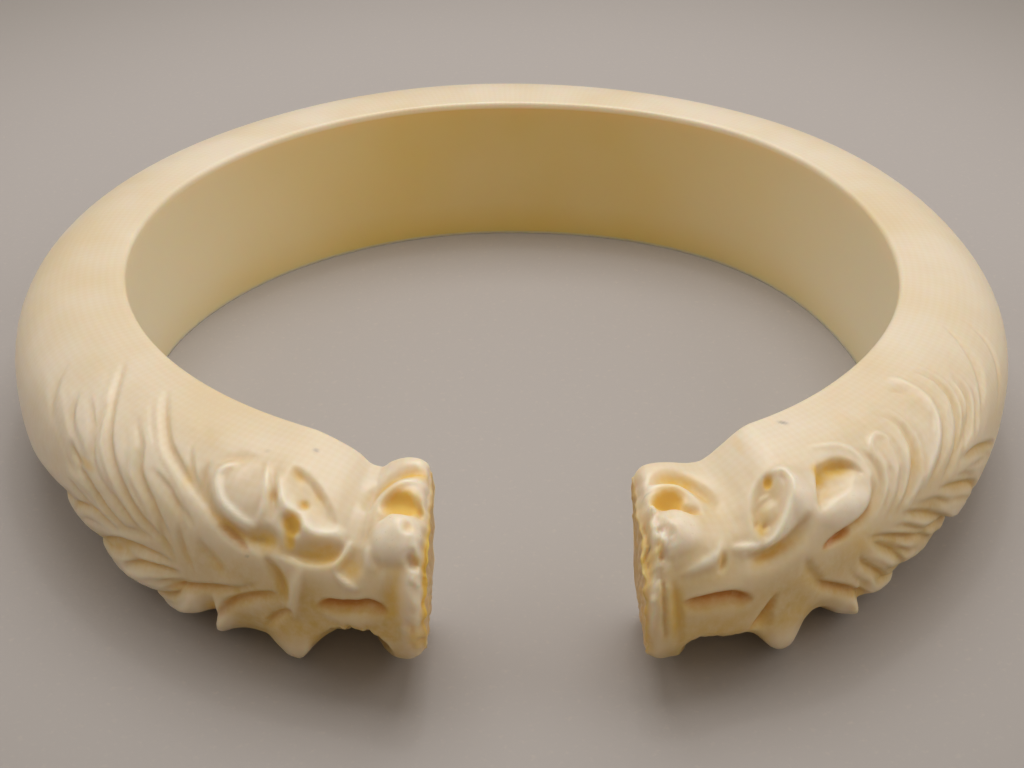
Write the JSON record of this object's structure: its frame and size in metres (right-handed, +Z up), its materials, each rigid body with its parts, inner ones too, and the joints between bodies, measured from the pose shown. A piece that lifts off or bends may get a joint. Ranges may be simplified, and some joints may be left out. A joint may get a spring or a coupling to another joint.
{
  "type": "open bangle",
  "caption": "Open ivory bangle: a plain polished band whose carved ends face each other across a gap as beasts' heads with manes swept back along the band.",
  "frame": {"origin": "middle of the wrist opening, on the surface that the bangle lies on", "axes": "+Z up through the wrist opening, -Y from the opening's middle towards the gap between the heads"},
  "size_m": [0.0771, 0.0802, 0.0135],
  "materials": {
    "ivory": "polished ivory, stained in the carving"
  },
  "bodies": {
    "root": {"carved_bangle": "ivory"}
  },
  "joints": []
}
